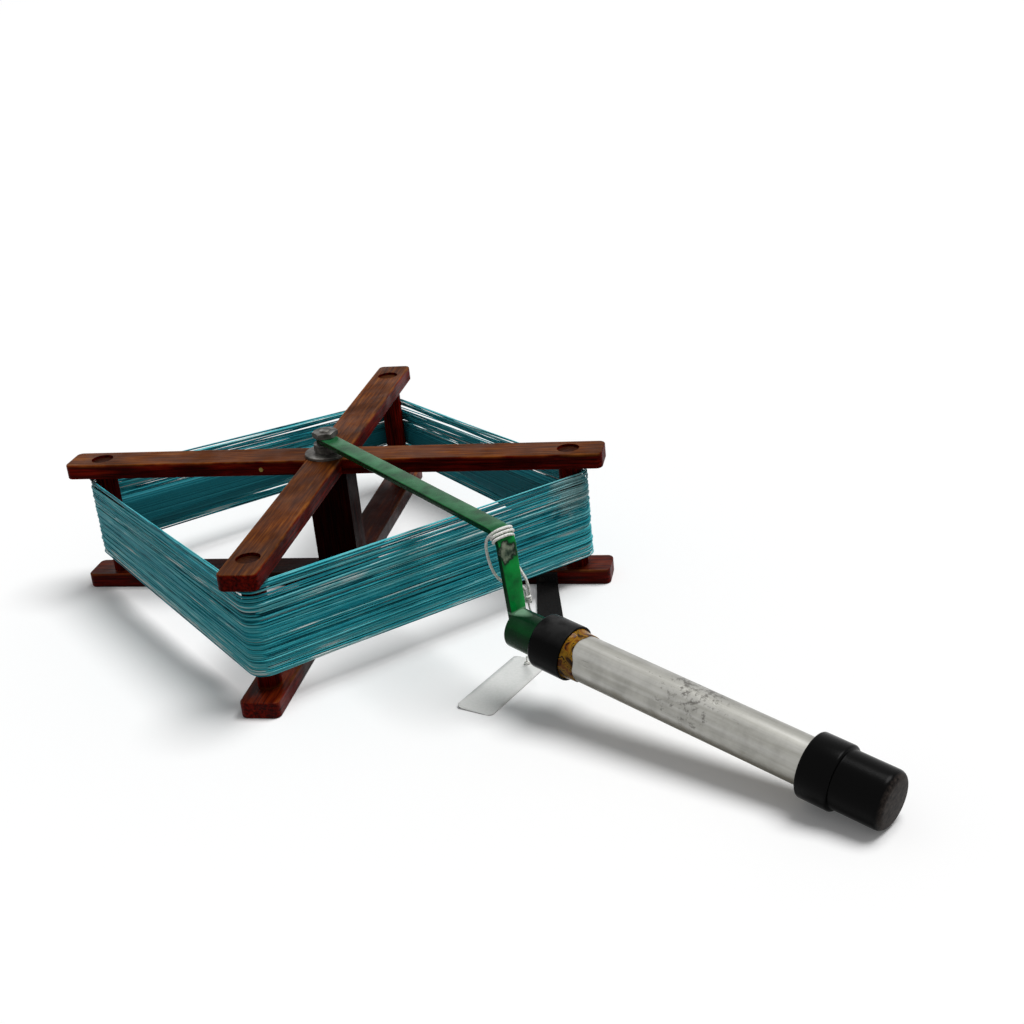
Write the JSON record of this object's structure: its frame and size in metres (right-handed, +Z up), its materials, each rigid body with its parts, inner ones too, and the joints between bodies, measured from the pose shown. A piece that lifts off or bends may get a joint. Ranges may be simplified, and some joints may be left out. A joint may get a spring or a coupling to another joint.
{
  "type": "fishing line winder",
  "caption": "Wooden hand line winder: crossed arms on posts wound with line, turning on a bolt held by a bent steel handle.",
  "frame": {"origin": "on the ground, on the axle's axis, at the flush head of the axle bolt", "axes": "+Z up along the axle, +X along the long arms to the right foot, +Y along the cross arms to the back foot"},
  "size_m": [0.4482, 0.3914, 0.0902],
  "materials": {
    "varnished_wood": "dark red-brown varnish, worn to orange-brown on the edges",
    "zinc_steel": "dull zinc with a little rust",
    "brass_pin": "dull",
    "teal_line": "glossy twisted strands",
    "black_leather": "matt",
    "green_paint": "glossy enamel, chipped at the bend",
    "black_rubber": "smooth, worn",
    "amber_glue": "clear amber",
    "worn_aluminium": "worn and scratched",
    "black_plastic": "glossy, scuffed on the end",
    "white_string": "twisted cotton",
    "tag_card": "blank card"
  },
  "bodies": {
    "frame": {"top_arm_long": "varnished_wood", "top_arm_cross": "varnished_wood", "bottom_arm_long": "varnished_wood", "bottom_arm_cross": "varnished_wood", "corner_post_right": "varnished_wood", "corner_post_back": "varnished_wood", "corner_post_left": "varnished_wood", "corner_post_front": "varnished_wood", "centre_post": "varnished_wood", "axle_bolt": "zinc_steel", "wood_washer": "zinc_steel", "clamp_nut": "zinc_steel", "strap_washer": "zinc_steel", "lock_nut": "zinc_steel", "line_core": "teal_line", "line_turns": "teal_line", "line_start_pin": "brass_pin", "keeper_strap": "black_leather", "keeper_nails": "zinc_steel"},
    "handle": {"handle_strap": "green_paint", "handle_socket": "green_paint", "rubber_sleeve": "black_rubber", "amber_band": "amber_glue", "handle_tube": "worn_aluminium", "end_cap": "black_plastic", "string_wrap": "white_string", "string_left": "white_string", "string_right": "white_string", "string_knot": "white_string", "tag_thread": "white_string", "swing_tag": "tag_card", "tag_knot": "white_string"}
  },
  "joints": [
    {"name": "handle_turns", "type": "hinge", "parent": "frame", "child": "handle", "pos_m": [0, 0, 0.0847], "axis": [0, 0, 1], "continuous": true}
  ]
}
